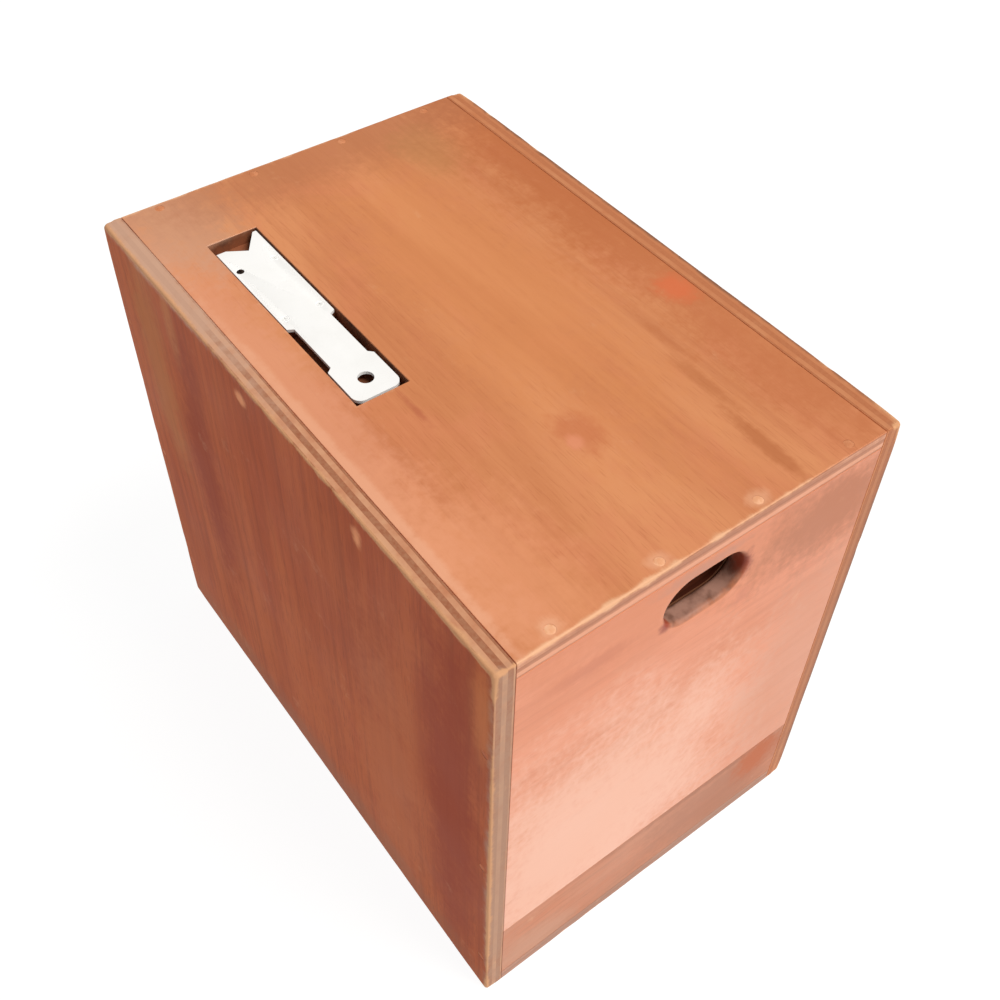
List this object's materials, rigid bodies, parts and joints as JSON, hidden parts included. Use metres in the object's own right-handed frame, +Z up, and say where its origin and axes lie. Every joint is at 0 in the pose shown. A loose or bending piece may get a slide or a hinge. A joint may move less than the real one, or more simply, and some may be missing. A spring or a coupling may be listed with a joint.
{
  "type": "apple box",
  "caption": "Tall hollow plywood grip box with a hand hole in each end and a recessed white eye plate in the top, for standing on, sitting on or propping gear.",
  "frame": {"origin": "centre of the footprint, on the ground", "axes": "+Z up; X runs along the long sides, with the eye plate's eye pointing to +X; -Y is the long side next to the eye plate"},
  "size_m": [0.6, 0.4, 0.545],
  "materials": {
    "red_plywood": "satin varnish over red rotary-cut plywood, bare worn edges",
    "pine_batten": "sawn softwood, bare",
    "white_steel": "white powder coat, worn at the edges",
    "steel_screw": "zinc plated"
  },
  "bodies": {
    "root": {"front_side_panel": "red_plywood", "rear_side_panel": "red_plywood", "top_panel": "red_plywood", "bottom_panel": "red_plywood", "right_end_panel": "red_plywood", "left_end_panel": "red_plywood", "right_end_rail": "red_plywood", "left_end_rail": "red_plywood", "right_grip_backing": "red_plywood", "left_grip_backing": "red_plywood", "divider": "red_plywood", "eye_plate": "white_steel", "base_left_screw_1": "steel_screw", "base_left_screw_2": "steel_screw", "base_right_screw_1": "steel_screw", "base_right_screw_2": "steel_screw", "front_base_batten": "pine_batten", "front_left_corner_block": "pine_batten", "front_left_screw_1": "steel_screw", "front_left_screw_2": "steel_screw", "front_left_screw_3": "steel_screw", "front_right_corner_block": "pine_batten", "front_right_screw_1": "steel_screw", "front_right_screw_2": "steel_screw", "front_right_screw_3": "steel_screw", "front_top_batten": "pine_batten", "left_base_batten": "pine_batten", "left_seam_batten": "pine_batten", "plate_screw_1": "steel_screw", "plate_screw_2": "steel_screw", "plate_screw_3": "steel_screw", "plate_screw_4": "steel_screw", "rear_base_batten": "pine_batten", "rear_left_corner_block": "pine_batten", "rear_left_screw_1": "steel_screw", "rear_left_screw_2": "steel_screw", "rear_left_screw_3": "steel_screw", "rear_right_corner_block": "pine_batten", "rear_right_screw_1": "steel_screw", "rear_right_screw_2": "steel_screw", "rear_right_screw_3": "steel_screw", "rear_top_batten": "pine_batten", "right_base_batten": "pine_batten", "right_seam_batten": "pine_batten", "top_left_screw_1": "steel_screw", "top_left_screw_2": "steel_screw", "top_left_screw_3": "steel_screw", "top_left_screw_4": "steel_screw", "top_right_screw_1": "steel_screw", "top_right_screw_2": "steel_screw", "top_right_screw_3": "steel_screw", "top_right_screw_4": "steel_screw"}
  },
  "joints": []
}
